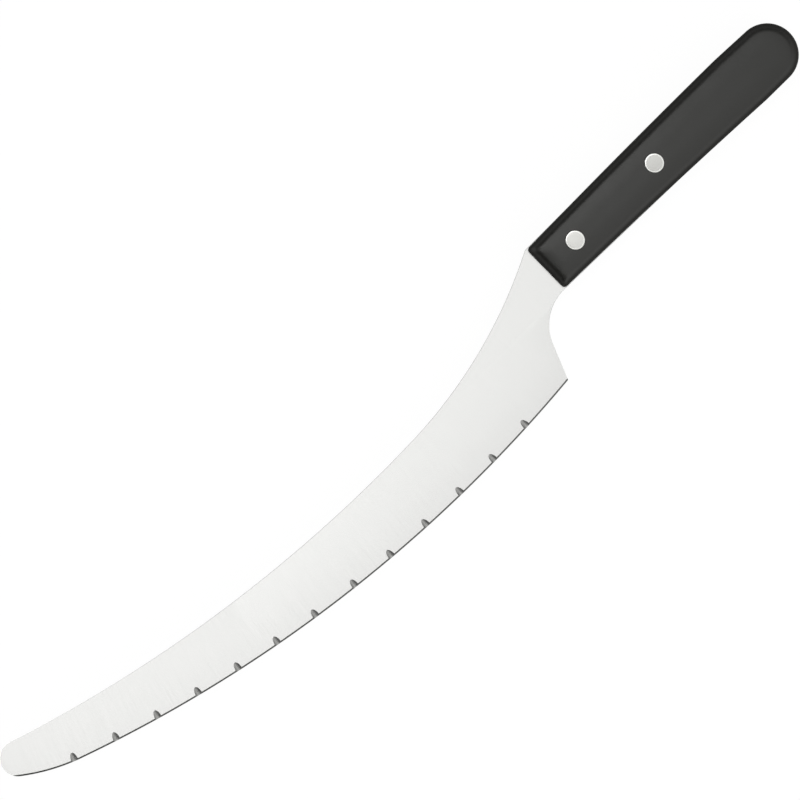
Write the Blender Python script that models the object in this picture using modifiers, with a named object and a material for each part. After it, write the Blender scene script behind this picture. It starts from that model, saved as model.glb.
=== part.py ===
"""Cake knife: a curved sheet-steel blade with ground flutes, riveted into a slotted handle.

While it is modelled, X runs from the blade's tip to the butt of the handle, Y towards the spine
and Z out of the blade's marked face. X = 0 is the front face of the handle, Y = 0 the handle's
axis and Z = 0 the middle of the steel. An empty then carries all the pieces, so that the handle's
flat underside lies on Z = 0 with the origin between the two rivets.
"""
import math

import bmesh
import bpy
from mathutils import Matrix, Vector

MM = 0.001

# Blade outline
SHEET_THICKNESS = 1.5 * MM
BLADE_REACH = 270.6 * MM        # handle's front face to the end of the tip
SPINE_RADIUS = 542.0 * MM
SPINE_DIP_AT = 101.6 * MM       # lowest point of the spine, in front of the handle
SPINE_DIP = 11.2 * MM           # and below the handle's axis
NECK_RADIUS = 185.0 * MM
SHOULDER = 0.6 * MM             # length of the neck's flat shoulder at the handle
HEEL_SETBACK = 22.4 * MM        # heel corner, in front of the handle
HEEL_DROP = 34.6 * MM           # and below the handle's axis
CHOIL_RADIUS = 18.0 * MM        # hollow between the neck and the heel
CHOIL_LEAN = math.radians(21.6)
MID_WIDTH = 25.7 * MM           # blade width under the lowest point of the spine
TIP_RADIUS = 6.6 * MM
BELLY_RADIUS = 75.0 * MM        # tighter stretch of the cutting edge behind the tip
BELLY_LIFT = 2.9 * MM           # how far that stretch rises inside the main arc of the edge

# Grinding
GRIND_HEIGHT = 22.0 * MM        # the flat grind starts this far from the cutting edge
EDGE_THICKNESS = 0.6 * MM       # steel left where the flat grind meets the edge bevel
BEVEL_WIDTH = 0.6 * MM
EDGE_LAND = 0.2 * MM            # blunt width of the cutting edge itself
FLUTE_FIRST = 22.7 * MM         # heel to the first flute, along the edge
FLUTE_PITCH = 17.25 * MM
FLUTE_FIRST_RUN = 6             # flutes ground before the blade is set again
FLUTE_RESET = 0.9 * MM          # added to the pitch where the second run starts
FLUTE_END_MARGIN = 18.0 * MM    # plain edge kept between the last flute and the tip
FLUTE_WIDTH = 2.5 * MM
FLUTE_LENGTH = 3.1 * MM
FLUTE_DEPTH = 0.45 * MM

# Handle
HANDLE_LENGTH = 124.7 * MM
HANDLE_THICKNESS = 14.0 * MM
FRONT_TOP = 10.3 * MM           # front face, above the axis
FRONT_BOTTOM = 9.6 * MM         # front face, below the axis
CREST_TOP = 12.0 * MM           # highest point of the upper edge, above the axis
CREST_TOP_BACK = 27.0 * MM      # and in front of the butt's end
CREST_BOTTOM = 11.75 * MM       # lowest point of the lower edge, below the axis
CREST_BOTTOM_BACK = 23.0 * MM   # and in front of the butt's end
CREST_RADIUS = 200.0 * MM
BACK_BULGE = 0.35 * MM          # slight crown of the long upper edge
GRIP_HOLLOW = 0.45 * MM         # slight hollow of the long lower edge
BUTT_RADIUS = 11.6 * MM
BUTT_DROP = 0.1 * MM            # centre of the round butt, below the axis
FACE_ROUNDING = 4.0 * MM        # from the flat sides into the edges
FRONT_ROUNDING = 1.0 * MM       # upper and lower corners of the front face

# Tang and slot
TANG_TAIL = 9.1 * MM            # steel behind the rear rivet's axis
TANG_CORNER = 4.0 * MM
TANG_PROUD = 0.25 * MM          # steel outside the handle's edges at the front face
TANG_SUNK = 0.1 * MM            # steel inside the handle's edges at the end of the tang
SLOT_PLAY = 0.25 * MM           # each side of the steel, and behind the tang

# Rivets, two of them, each a tube half and a pin half pressed together
RIVET_FIRST_AT = 15.1 * MM      # behind the front face
RIVET_SPACING = 40.5 * MM
RIVET_RISE = 0.35 * MM          # above the handle's axis
HEAD_DIAMETER = 7.2 * MM
HEAD_THICKNESS = 1.6 * MM
HEAD_ROUNDING = 0.4 * MM
TUBE_DIAMETER = 4.4 * MM
TUBE_WALL = 0.75 * MM
TUBE_FLOOR = 0.6 * MM           # metal left under the tube's bore, above the head's face
PIN_CHAMFER = 0.4 * MM
SEAT_GAP = 0.3 * MM             # round the heads and shanks
PRESS_GAP = 0.2 * MM            # between the pin and the tube

# Facets
ARC_STEP = 4.0 * MM             # along the long arcs of the blade
WHEEL_STEP = 3.3 * MM           # along the grinding cut, out of step with the outline
CORNER_STEPS = 6
TIP_STEPS = 12
CHOIL_STEPS = 12
CREST_STEPS = 3
LONG_EDGE_STEPS = 8
BUTT_STEPS = 24
EDGE_STEPS = 6                  # rounded rows along the handle's edges
TURN_STEPS = 32
FLUTE_FACETS = 64
CUT_MARGIN = 2.0 * MM           # cutters run past what they cut
WELD = 0.001 * MM


def polar(centre, radius, angle):
    """Point at an angle on a circle."""
    return Vector((centre.x + radius * math.cos(angle), centre.y + radius * math.sin(angle)))


def angle_of(centre, point):
    """Direction of a point from a centre, between 0 and a full turn."""
    return math.atan2(point.y - centre.y, point.x - centre.x) % math.tau


def arc(centre, radius, start, end, steps):
    """Points on a circle from one angle to another, both ends included."""
    return [polar(centre, radius, start + (end - start) * i / steps) for i in range(steps + 1)]


def long_arc(centre, radius, start, end, step):
    """An arc with facets of about the same length."""
    return arc(centre, radius, start, end, max(4, round(abs(end - start) * radius / step)))


def bulged(start, end, bulge, steps):
    """A shallow arc between two points that stands out by bulge, to the left of its direction."""
    side = (end - start).orthogonal().normalized()
    points = []
    for i in range(steps + 1):
        t = i / steps
        points.append(start.lerp(end, t) + side * bulge * 4.0 * t * (1.0 - t))
    return points


def rounded(before, corner, after, radius, steps):
    """The arc that rounds the corner between two straight stretches."""
    inward = (before - corner).normalized()
    outward = (after - corner).normalized()
    half = inward.angle(outward) / 2.0
    reach = radius / math.tan(half)
    centre = corner + (inward + outward).normalized() * radius / math.sin(half)
    start = angle_of(centre, corner + inward * reach)
    end = angle_of(centre, corner + outward * reach)
    turn = (end - start + math.pi) % math.tau - math.pi
    return arc(centre, radius, start, start + turn, steps)


def circles_meet(centre_a, radius_a, centre_b, radius_b, side):
    """Where two circles cross; side 1 is left of the line from a to b, side -1 is right."""
    line = centre_b - centre_a
    along = (line.length_squared + radius_a ** 2 - radius_b ** 2) / (2.0 * line.length)
    across = math.sqrt(radius_a ** 2 - along ** 2)
    return centre_a + line.normalized() * along + line.orthogonal().normalized() * side * across


def circle_through(a, b, c):
    """Centre and radius of the circle through three points."""
    p = b - a
    q = c - a
    scale = 1.0 / (2.0 * p.cross(q))
    centre = a + Vector((q.y * p.length_squared - p.y * q.length_squared,
                         p.x * q.length_squared - q.x * p.length_squared)) * scale
    return centre, (centre - a).length


def lines_meet(point_a, along_a, point_b, along_b):
    """Where two straight lines cross."""
    return point_a + along_a * ((point_b - point_a).cross(along_b) / along_a.cross(along_b))


def touch_point(outside, centre, radius, side):
    """Where a line from a point outside a circle touches it."""
    line = outside - centre
    return polar(centre, radius, angle_of(centre, outside) + side * math.acos(radius / line.length))


def handle_top(x):
    """Height of the handle's upper edge above the axis."""
    t = x / (HANDLE_LENGTH - CREST_TOP_BACK)
    return FRONT_TOP + (CREST_TOP - FRONT_TOP) * t + BACK_BULGE * 4.0 * t * (1.0 - t)


def handle_bottom(x):
    """Height of the handle's lower edge, a negative value."""
    t = x / (HANDLE_LENGTH - CREST_BOTTOM_BACK)
    return -(FRONT_BOTTOM + (CREST_BOTTOM - FRONT_BOTTOM) * t - GRIP_HOLLOW * 4.0 * t * (1.0 - t))


def tang_length():
    """How far the tang reaches behind the handle's front face."""
    return RIVET_FIRST_AT + RIVET_SPACING + TANG_TAIL


class BladeLayout:
    """Centres, radii and touching points of the arcs that bound the blade."""

    def __init__(self):
        self.shoulder = Vector((-SHOULDER, handle_top(0.0) + TANG_PROUD))
        self.neck_foot = Vector((0.0, handle_bottom(0.0) - TANG_PROUD))
        self.heel = Vector((-HEEL_SETBACK, -HEEL_DROP))
        self.spine_centre = Vector((-SPINE_DIP_AT, SPINE_RADIUS - SPINE_DIP))
        self.neck_centre = circles_meet(self.spine_centre, SPINE_RADIUS - NECK_RADIUS,
                                        self.shoulder, NECK_RADIUS, -1)
        tip_x = TIP_RADIUS - BLADE_REACH
        tip_drop = math.sqrt((SPINE_RADIUS + TIP_RADIUS) ** 2 - (tip_x - self.spine_centre.x) ** 2)
        self.tip_centre = Vector((tip_x, self.spine_centre.y - tip_drop))
        outward = (self.tip_centre - self.spine_centre).normalized()
        middle = Vector((-SPINE_DIP_AT, -SPINE_DIP - MID_WIDTH))
        under_tip = self.tip_centre + outward * (TIP_RADIUS + BELLY_LIFT)
        self.edge_centre, self.edge_radius = circle_through(self.heel, middle, under_tip)
        self.belly_centre = circles_meet(self.edge_centre, self.edge_radius - BELLY_RADIUS,
                                         self.tip_centre, BELLY_RADIUS - TIP_RADIUS, 1)
        self.heel_angle = angle_of(self.edge_centre, self.heel)
        self.belly_start = angle_of(self.edge_centre, self.belly_centre)
        self.belly_end = angle_of(self.belly_centre, self.tip_centre)

    def edge_path(self, step):
        """The cutting edge from the heel to the tip, with facets of a given length."""
        main = long_arc(self.edge_centre, self.edge_radius, self.heel_angle, self.belly_start, step)
        belly = long_arc(self.belly_centre, BELLY_RADIUS, self.belly_start, self.belly_end, step)
        return main + belly[1:]

    def edge_lengths(self):
        """Lengths of the edge's main arc and of its belly."""
        main = (self.heel_angle - self.belly_start) * self.edge_radius
        belly = (self.belly_start - self.belly_end) * BELLY_RADIUS
        return main, belly

    def edge_station(self, distance):
        """Point on the cutting edge and inward direction, at a distance from the heel."""
        main, belly = self.edge_lengths()
        if distance <= main:
            centre = self.edge_centre
            radius = self.edge_radius
            angle = self.heel_angle - distance / radius
        else:
            centre = self.belly_centre
            radius = BELLY_RADIUS
            angle = self.belly_start - (distance - main) / radius
        point = polar(centre, radius, angle)
        return point, (centre - point).normalized()

    def outline(self):
        """The flat outline of the blade and its tang, counter-clockwise from the tang's end."""
        end = tang_length()
        end_top = Vector((end, handle_top(end) - TANG_SUNK))
        end_bottom = Vector((end, handle_bottom(end) + TANG_SUNK))
        lean = Vector((math.sin(CHOIL_LEAN), math.cos(CHOIL_LEAN)))
        choil_corner = lines_meet(self.heel, lean, self.neck_foot, end_bottom - self.neck_foot)
        neck_start = angle_of(self.neck_centre, self.shoulder)
        spine_start = angle_of(self.spine_centre, self.neck_centre)
        spine_end = angle_of(self.spine_centre, self.tip_centre)
        neck = long_arc(self.neck_centre, NECK_RADIUS, neck_start, spine_start, ARC_STEP)
        spine = long_arc(self.spine_centre, SPINE_RADIUS, spine_start, spine_end, ARC_STEP)
        tip = arc(self.tip_centre, TIP_RADIUS, spine_end - math.pi, self.belly_end, TIP_STEPS)
        edge = self.edge_path(ARC_STEP)
        points = rounded(end_bottom, end_top, self.shoulder, TANG_CORNER, CORNER_STEPS)
        points += neck
        points += spine[1:]
        points += tip[1:]
        points += edge[-2::-1]
        points += rounded(self.heel, choil_corner, end_bottom, CHOIL_RADIUS, CHOIL_STEPS)
        points += rounded(self.neck_foot, end_bottom, end_top, TANG_CORNER, CORNER_STEPS)
        return points


def handle_outline():
    """The flat outline of the handle, counter-clockwise from the foot of its front face."""
    front_foot = Vector((0.0, handle_bottom(0.0)))
    front_head = Vector((0.0, handle_top(0.0)))
    crest_top = Vector((HANDLE_LENGTH - CREST_TOP_BACK, CREST_TOP))
    crest_bottom = Vector((HANDLE_LENGTH - CREST_BOTTOM_BACK, -CREST_BOTTOM))
    butt = Vector((HANDLE_LENGTH - BUTT_RADIUS, -BUTT_DROP))
    touch_top = touch_point(crest_top, butt, BUTT_RADIUS, -1)
    touch_bottom = touch_point(crest_bottom, butt, BUTT_RADIUS, 1)
    butt_start = angle_of(butt, touch_bottom) - math.tau
    butt_end = angle_of(butt, touch_top)
    back = bulged(crest_top, front_head, -BACK_BULGE, LONG_EDGE_STEPS)
    grip = bulged(front_foot, crest_bottom, GRIP_HOLLOW, LONG_EDGE_STEPS)
    points = grip[:-1]
    points += rounded(grip[-2], crest_bottom, touch_bottom, CREST_RADIUS, CREST_STEPS)
    points += arc(butt, BUTT_RADIUS, butt_start, butt_end, BUTT_STEPS)
    points += rounded(touch_top, crest_top, back[1], CREST_RADIUS, CREST_STEPS)
    points += back[1:]
    return points


def clear_scene():
    """Remove every object of the scene."""
    for old in list(bpy.data.objects):
        bpy.data.objects.remove(old, do_unlink=True)


def new_collection(name):
    """A collection linked to the scene."""
    group = bpy.data.collections.new(name)
    bpy.context.scene.collection.children.link(group)
    return group


def finish(name, colour, metallic, roughness):
    """A plain Principled material."""
    material = bpy.data.materials.new(name)
    material.use_nodes = True
    shader = material.node_tree.nodes["Principled BSDF"]
    shader.inputs["Base Color"].default_value = (*colour, 1.0)
    shader.inputs["Metallic"].default_value = metallic
    shader.inputs["Roughness"].default_value = roughness
    return material


def curve_object(name, points, cyclic):
    """A flat curve with straight runs between its points."""
    curve = bpy.data.curves.new(name, "CURVE")
    curve.dimensions = "2D"
    spline = curve.splines.new("POLY")
    spline.points.add(len(points) - 1)
    for slot, point in zip(spline.points, points):
        slot.co = (point.x, point.y, 0.0, 1.0)
    spline.use_cyclic_u = cyclic
    shape = bpy.data.objects.new(name, curve)
    bpy.context.scene.collection.objects.link(shape)
    return shape


def mesh_from(shape, group):
    """Turn a curve into one welded mesh object in a collection."""
    bpy.context.view_layer.update()
    depsgraph = bpy.context.evaluated_depsgraph_get()
    mesh = bpy.data.meshes.new_from_object(shape.evaluated_get(depsgraph))
    solid = bpy.data.objects.new(shape.name, mesh)
    solid.matrix_world = shape.matrix_world
    old_name = shape.name
    bpy.data.objects.remove(shape, do_unlink=True)
    solid.name = old_name
    group.objects.link(solid)
    work = bmesh.new()
    work.from_mesh(mesh)
    bmesh.ops.remove_doubles(work, verts=work.verts, dist=WELD)
    bmesh.ops.recalc_face_normals(work, faces=work.faces)
    work.to_mesh(mesh)
    work.free()
    return solid


def plate(name, points, thickness, group):
    """A flat plate of an outline, centred on Z = 0."""
    shape = curve_object(name, points, True)
    shape.data.fill_mode = "BOTH"
    shape.data.extrude = thickness / 2.0
    return mesh_from(shape, group)


def swept(name, path, profile, group):
    """A solid of one section along a flat path; the section's X points to the right of the path."""
    section = curve_object(name + "_section", profile, True)
    shape = curve_object(name, path, False)
    shape.data.bevel_mode = "OBJECT"
    shape.data.bevel_object = section
    shape.data.use_fill_caps = True
    solid = mesh_from(shape, group)
    bpy.data.objects.remove(section, do_unlink=True)
    return solid


def turned(name, profile, group):
    """A turned solid from a profile of (radius, height) that runs top to bottom."""
    mesh = bpy.data.meshes.new(name)
    solid = bpy.data.objects.new(name, mesh)
    group.objects.link(solid)
    work = bmesh.new()
    rim = [work.verts.new((radius, 0.0, height)) for radius, height in profile]
    for above, below in zip(rim, rim[1:]):
        work.edges.new((above, below))
    work.to_mesh(mesh)
    work.free()
    screw = solid.modifiers.new("Turn", "SCREW")
    screw.axis = "Z"
    screw.angle = math.tau
    screw.steps = TURN_STEPS
    screw.render_steps = TURN_STEPS
    screw.use_merge_vertices = True
    screw.merge_threshold = WELD
    return solid


def cut(solid, tools):
    """Take all the cutters of a collection away from a solid."""
    for tool in tools.objects:
        tool.hide_render = True
        tool.display_type = "WIRE"
    boolean = solid.modifiers.new("Cut", "BOOLEAN")
    boolean.operation = "DIFFERENCE"
    boolean.solver = "EXACT"
    boolean.operand_type = "COLLECTION"
    boolean.collection = tools


def edge_grinder(layout, tools):
    """The two grinding wheels as one cutter that runs along the cutting edge.

    Its section is a V on its side. The long flanks leave the flat grind, the short ones near the
    point leave the edge bevel.
    """
    flank = (SHEET_THICKNESS - EDGE_THICKNESS) / 2.0 / (GRIND_HEIGHT - BEVEL_WIDTH)
    bevel = (EDGE_THICKNESS - EDGE_LAND) / 2.0 / BEVEL_WIDTH
    inner = GRIND_HEIGHT + CUT_MARGIN
    upper = [
        Vector((EDGE_LAND / 2.0 / bevel, 0.0)),
        Vector((-BEVEL_WIDTH, EDGE_THICKNESS / 2.0)),
        Vector((-inner, SHEET_THICKNESS / 2.0 + CUT_MARGIN * flank)),
        Vector((-inner, SHEET_THICKNESS / 2.0 + CUT_MARGIN)),
        Vector((CUT_MARGIN, SHEET_THICKNESS / 2.0 + CUT_MARGIN)),
    ]
    lower = [Vector((point.x, -point.y)) for point in reversed(upper[1:])]
    edge = layout.edge_path(WHEEL_STEP)[::-1]
    past_tip = (edge[0] - edge[1]).normalized() * 4.0 * TIP_RADIUS
    past_heel = (edge[-1] - edge[-2]).normalized() * (HEEL_SETBACK - CUT_MARGIN)
    path = [edge[0] + past_tip] + edge + [edge[-1] + past_heel]
    return swept("edge_grinder", path, upper + lower, tools)


def flute_cutters(layout, tools):
    """One leaning round bar for each flute, all in one cutter."""
    reach = sum(layout.edge_lengths()) - FLUTE_FIRST - FLUTE_END_MARGIN
    count = int(reach / FLUTE_PITCH) + 1
    bar_radius = (FLUTE_WIDTH ** 2 / 4.0 + FLUTE_DEPTH ** 2) / (2.0 * FLUTE_DEPTH)
    lean = math.atan2(FLUTE_DEPTH, FLUTE_LENGTH)
    bar_length = 2.0 * FLUTE_LENGTH + 2.0 * CUT_MARGIN
    mesh = bpy.data.meshes.new("flute_bars")
    work = bmesh.new()
    for i in range(count):
        reset = FLUTE_RESET if i >= FLUTE_FIRST_RUN else 0.0
        point, inward = layout.edge_station(FLUTE_FIRST + i * FLUTE_PITCH + reset)
        seat = Vector((point.x, point.y, EDGE_THICKNESS / 2.0 - FLUTE_DEPTH))
        axis = Vector((inward.x, inward.y, 0.0)) * math.cos(lean) + Vector((0.0, 0.0, math.sin(lean)))
        along = Vector((-inward.y, inward.x, 0.0))
        up = axis.cross(along)
        if up.z < 0.0:
            up = -up
            along = -along
        centre = seat + up * bar_radius
        turn = Matrix((along, up, axis)).transposed().to_4x4()
        bmesh.ops.create_cone(work, cap_ends=True, segments=FLUTE_FACETS, radius1=bar_radius,
                              radius2=bar_radius, depth=bar_length,
                              matrix=Matrix.Translation(centre) @ turn)
    work.to_mesh(mesh)
    work.free()
    tool = bpy.data.objects.new("flute_bars", mesh)
    tools.objects.link(tool)
    return tool


def rivet_places():
    """Axes of the rivets, from the handle's front face to the butt."""
    return {
        "front": Vector((RIVET_FIRST_AT, RIVET_RISE, 0.0)),
        "rear": Vector((RIVET_FIRST_AT + RIVET_SPACING, RIVET_RISE, 0.0)),
    }


def make_blade(parts, tools):
    """Blade and tang in one piece of sheet: outline, grinding, flutes, rivet holes."""
    layout = BladeLayout()
    blade = plate("blade", layout.outline(), SHEET_THICKNESS, parts)
    edge_grinder(layout, tools)
    flute_cutters(layout, tools)
    hole_radius = TUBE_DIAMETER / 2.0 + SEAT_GAP
    for name, place in rivet_places().items():
        drill = turned(name + "_tang_drill", [(0.0, SHEET_THICKNESS), (hole_radius, SHEET_THICKNESS),
                                              (hole_radius, -SHEET_THICKNESS),
                                              (0.0, -SHEET_THICKNESS)], tools)
        drill.location = place
    cut(blade, tools)
    blade.data.materials.append(finish("blade_steel", (0.80, 0.80, 0.79), 1.0, 0.32))
    return blade


def bore_profile():
    """Stepped bore of the handle: a head's recess at both sides and the shank's bore between."""
    top = HANDLE_THICKNESS / 2.0
    recess_floor = top - HEAD_THICKNESS - SEAT_GAP
    recess_radius = HEAD_DIAMETER / 2.0 + SEAT_GAP
    bore_radius = TUBE_DIAMETER / 2.0 + SEAT_GAP
    return [
        (0.0, top + CUT_MARGIN),
        (recess_radius, top + CUT_MARGIN),
        (recess_radius, recess_floor),
        (bore_radius, recess_floor),
        (bore_radius, -recess_floor),
        (recess_radius, -recess_floor),
        (recess_radius, -top - CUT_MARGIN),
        (0.0, -top - CUT_MARGIN),
    ]


def round_edges(solid):
    """Round the rim of both flat sides, each of which is first made one face."""
    work = bmesh.new()
    work.from_mesh(solid.data)
    for side in (1.0, -1.0):
        bmesh.ops.dissolve_faces(work, faces=[face for face in work.faces if face.normal.z * side > 0.5])
    weight = work.edges.layers.float.new("bevel_weight_edge")
    for edge in work.edges:
        upright = abs(edge.verts[0].co.z - edge.verts[1].co.z) > WELD
        edge[weight] = 1.0 if not upright and edge.calc_face_angle() > 1.0 else 0.0
    work.to_mesh(solid.data)
    work.free()
    rim = solid.modifiers.new("Rim", "BEVEL")
    rim.limit_method = "WEIGHT"
    rim.offset_type = "OFFSET"
    rim.width = FACE_ROUNDING
    rim.segments = EDGE_STEPS
    rim.use_clamp_overlap = False


def corner_cutter(name, before, corner, after, tools):
    """A prism that rounds one upright corner of the handle's front face."""
    points = rounded(before, corner, after, FRONT_ROUNDING, CORNER_STEPS)
    run_in = points[0] + (points[0] - points[1]).normalized() * CUT_MARGIN
    run_out = points[-1] + (points[-1] - points[-2]).normalized() * CUT_MARGIN
    apex = corner + (corner - points[CORNER_STEPS // 2]).normalized() * CUT_MARGIN
    plate(name, [run_in] + points + [run_out, apex], HANDLE_THICKNESS + 2.0 * CUT_MARGIN, tools)


def make_handle(parts, tools):
    """One-piece handle: rounded body, saw slot for the tang, stepped bores for the rivets."""
    outline = handle_outline()
    handle = plate("handle", outline, HANDLE_THICKNESS, parts)
    round_edges(handle)
    corner_cutter("upper_corner_cutter", outline[-2], outline[-1], outline[0], tools)
    corner_cutter("lower_corner_cutter", outline[-1], outline[0], outline[1], tools)
    slot_width = SHEET_THICKNESS + 2.0 * SLOT_PLAY
    slot_end = tang_length() + SLOT_PLAY
    slot_height = 2.0 * (CREST_TOP + CREST_BOTTOM)
    saw = bpy.data.objects.new("slot_saw", bpy.data.meshes.new("slot_saw"))
    tools.objects.link(saw)
    work = bmesh.new()
    size = Matrix.Diagonal((slot_end + CUT_MARGIN, slot_height, slot_width, 1.0))
    centre = Vector(((slot_end - CUT_MARGIN) / 2.0, 0.0, 0.0))
    bmesh.ops.create_cube(work, size=1.0, matrix=Matrix.Translation(centre) @ size)
    work.to_mesh(saw.data)
    work.free()
    for name, place in rivet_places().items():
        drill = turned(name + "_bore_drill", bore_profile(), tools)
        drill.location = place
    cut(handle, tools)
    handle.data.materials.append(finish("handle_plastic", (0.035, 0.035, 0.033), 0.0, 0.42))
    return handle


def head_rim(centre_radius, centre_height, upwards):
    """The rounded rim of a rivet head, as a quarter circle of the profile."""
    points = []
    for i in range(4):
        angle = math.pi / 2.0 * (1.0 - i / 3.0)
        lift = HEAD_ROUNDING * math.sin(angle)
        points.append((centre_radius + HEAD_ROUNDING * math.cos(angle),
                       centre_height + (lift if upwards else -lift)))
    return points if upwards else points[::-1]


def make_rivet(name, place, parts, metal):
    """Pin half from the marked side and tube half from the other, as (pin, tube)."""
    face = HANDLE_THICKNESS / 2.0
    seat = face - HEAD_THICKNESS
    head_radius = HEAD_DIAMETER / 2.0
    tube_radius = TUBE_DIAMETER / 2.0
    bore_radius = tube_radius - TUBE_WALL
    pin_radius = bore_radius - PRESS_GAP
    bore_floor = TUBE_FLOOR - face
    tube_top = seat - SEAT_GAP
    pin_end = bore_floor + SEAT_GAP
    pin_profile = [(0.0, face)]
    pin_profile += head_rim(head_radius - HEAD_ROUNDING, face - HEAD_ROUNDING, True)
    pin_profile += [
        (head_radius, seat),
        (pin_radius, seat),
        (pin_radius, pin_end + PIN_CHAMFER),
        (pin_radius - PIN_CHAMFER, pin_end),
        (0.0, pin_end),
    ]
    tube_profile = [
        (0.0, bore_floor),
        (bore_radius, bore_floor),
        (bore_radius, tube_top),
        (tube_radius, tube_top),
        (tube_radius, -seat),
        (head_radius, -seat),
    ]
    tube_profile += head_rim(head_radius - HEAD_ROUNDING, HEAD_ROUNDING - face, False)
    tube_profile.append((0.0, -face))
    halves = []
    for half, profile in (("pin", pin_profile), ("tube", tube_profile)):
        piece = turned(name + "_rivet_" + half, profile, parts)
        piece.location = place
        piece.data.materials.append(metal)
        halves.append(piece)
    return halves


def main():
    """Build the cake knife."""
    clear_scene()
    parts = new_collection("cake_knife")
    blade_tools = new_collection("blade_cutters")
    handle_tools = new_collection("handle_cutters")
    pieces = [make_blade(parts, blade_tools), make_handle(parts, handle_tools)]
    metal = finish("rivet_metal", (0.78, 0.78, 0.77), 1.0, 0.35)
    for name, place in rivet_places().items():
        pieces += make_rivet(name, place, parts, metal)
    stand = bpy.data.objects.new("knife_frame", None)
    parts.objects.link(stand)
    for child in pieces + list(blade_tools.objects) + list(handle_tools.objects):
        child.parent = stand
    stand.location = (-RIVET_FIRST_AT - RIVET_SPACING / 2.0, 0.0, HANDLE_THICKNESS / 2.0)
    for piece in pieces:
        piece.data.shade_smooth()
        piece.data.set_sharp_from_angle(angle=math.radians(30.0))
    bpy.context.view_layer.update()


main()
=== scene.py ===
"""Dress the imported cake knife: ground steel blade, moulded handle, rivets and a plain soft studio.

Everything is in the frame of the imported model, in metres: X towards the butt of the handle, Y
towards the spine of the blade, Z up out of the fluted face. The handle's underside lies on Z = 0.
"""

import logging
import math
from dataclasses import dataclass
from enum import Enum

import bmesh
import bpy
from mathutils import Matrix, Vector


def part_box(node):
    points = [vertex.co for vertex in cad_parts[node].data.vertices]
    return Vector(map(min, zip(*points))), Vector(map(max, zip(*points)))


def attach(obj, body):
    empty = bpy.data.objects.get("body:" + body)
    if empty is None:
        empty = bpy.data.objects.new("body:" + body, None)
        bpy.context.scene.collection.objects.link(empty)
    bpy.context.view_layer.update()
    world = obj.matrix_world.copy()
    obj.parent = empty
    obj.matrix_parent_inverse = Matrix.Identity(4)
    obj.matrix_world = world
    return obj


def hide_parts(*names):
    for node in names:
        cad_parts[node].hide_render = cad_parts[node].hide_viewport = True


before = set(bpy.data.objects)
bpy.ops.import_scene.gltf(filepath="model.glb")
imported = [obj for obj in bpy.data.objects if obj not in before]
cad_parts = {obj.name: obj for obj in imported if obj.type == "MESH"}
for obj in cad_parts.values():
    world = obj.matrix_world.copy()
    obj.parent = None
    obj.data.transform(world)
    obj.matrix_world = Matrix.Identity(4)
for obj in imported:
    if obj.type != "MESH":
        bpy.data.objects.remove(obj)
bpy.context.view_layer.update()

LOG = logging.getLogger("cake_knife")
MM = 0.001
WELD = 0.002 * MM
LEVEL = 0.9                     # a face whose normal's Z is past this lies level
UP = Vector((0.0, 0.0, 1.0))
Piece = bpy.types.Object
Socket = bpy.types.NodeSocket


class Slot(Enum):
    """Names of the knife's material slots."""

    BLADE = "blade_steel"
    HANDLE = "handle_plastic"
    RIVET = "rivet_metal"


class Half(Enum):
    """The two halves of a rivet and the side of the handle that each one's head lies on."""

    PIN = 1.0
    TUBE = -1.0


@dataclass(frozen=True)
class Datum:
    """Where the knife lies in the frame: its own drawing starts at the handle's front face."""

    front: float
    middle: float

    @classmethod
    def from_frame(cls) -> "Datum":
        """Read the handle's front face and the height of the steel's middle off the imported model."""
        return cls(front=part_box("handle")[0].x, middle=sum(corner.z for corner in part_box("blade")) / 2.0)

    def point(self, x: float, y: float, z: float = 0.0) -> Vector:
        """Turn a place of the knife's own drawing into a place in the frame."""
        return Vector((self.front + x, y, self.middle + z))


# Plane geometry

def angle_of(centre: Vector, point: Vector) -> float:
    """Give the direction from a centre to a point, between 0 and a full turn."""
    return math.atan2(point.y - centre.y, point.x - centre.x) % math.tau


def on_circle(centre: Vector, radius: float, angle: float) -> Vector:
    """Give the point at an angle on a level circle."""
    return centre + Vector((math.cos(angle), math.sin(angle), 0.0)) * radius


def side_of(line: Vector) -> Vector:
    """Give the level direction to the left of a line."""
    return Vector((-line.y, line.x, 0.0)).normalized()


def circles_meet(centre_a: Vector, radius_a: float, centre_b: Vector, radius_b: float, side: int) -> Vector:
    """Find where two level circles cross.

    Args:
        centre_a: Centre of the first circle.
        radius_a: Its radius.
        centre_b: Centre of the second circle.
        radius_b: Its radius.
        side: 1 for the crossing left of the line from a to b, -1 for the one on its right.

    Returns:
        The crossing.
    """
    line = centre_b - centre_a
    along = (line.length_squared + radius_a ** 2 - radius_b ** 2) / (2.0 * line.length)
    across = math.sqrt(radius_a ** 2 - along ** 2)
    return centre_a + line.normalized() * along + side_of(line) * side * across


def circle_through(a: Vector, b: Vector, c: Vector) -> tuple[Vector, float]:
    """Find the level circle through three points.

    Args:
        a: First point.
        b: Second point.
        c: Third point.

    Returns:
        The centre and the radius.
    """
    p = b - a
    q = c - a
    scale = 1.0 / (2.0 * (p.x * q.y - p.y * q.x))
    offset = Vector((q.y * p.length_squared - p.y * q.length_squared,
                     p.x * q.length_squared - q.x * p.length_squared, 0.0)) * scale
    return a + offset, offset.length


def lines_meet(point_a: Vector, along_a: Vector, point_b: Vector, along_b: Vector) -> Vector:
    """Find where two level lines cross, each given by a point and a direction."""
    gap = point_b - point_a
    crossed = along_a.x * along_b.y - along_a.y * along_b.x
    return point_a + along_a * ((gap.x * along_b.y - gap.y * along_b.x) / crossed)


def touch_point(outside: Vector, centre: Vector, radius: float, side: int) -> Vector:
    """Find where a line from a point outside a circle touches it, on one side or the other."""
    spread = math.acos(radius / (outside - centre).length)
    return on_circle(centre, radius, angle_of(centre, outside) + side * spread)


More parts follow.
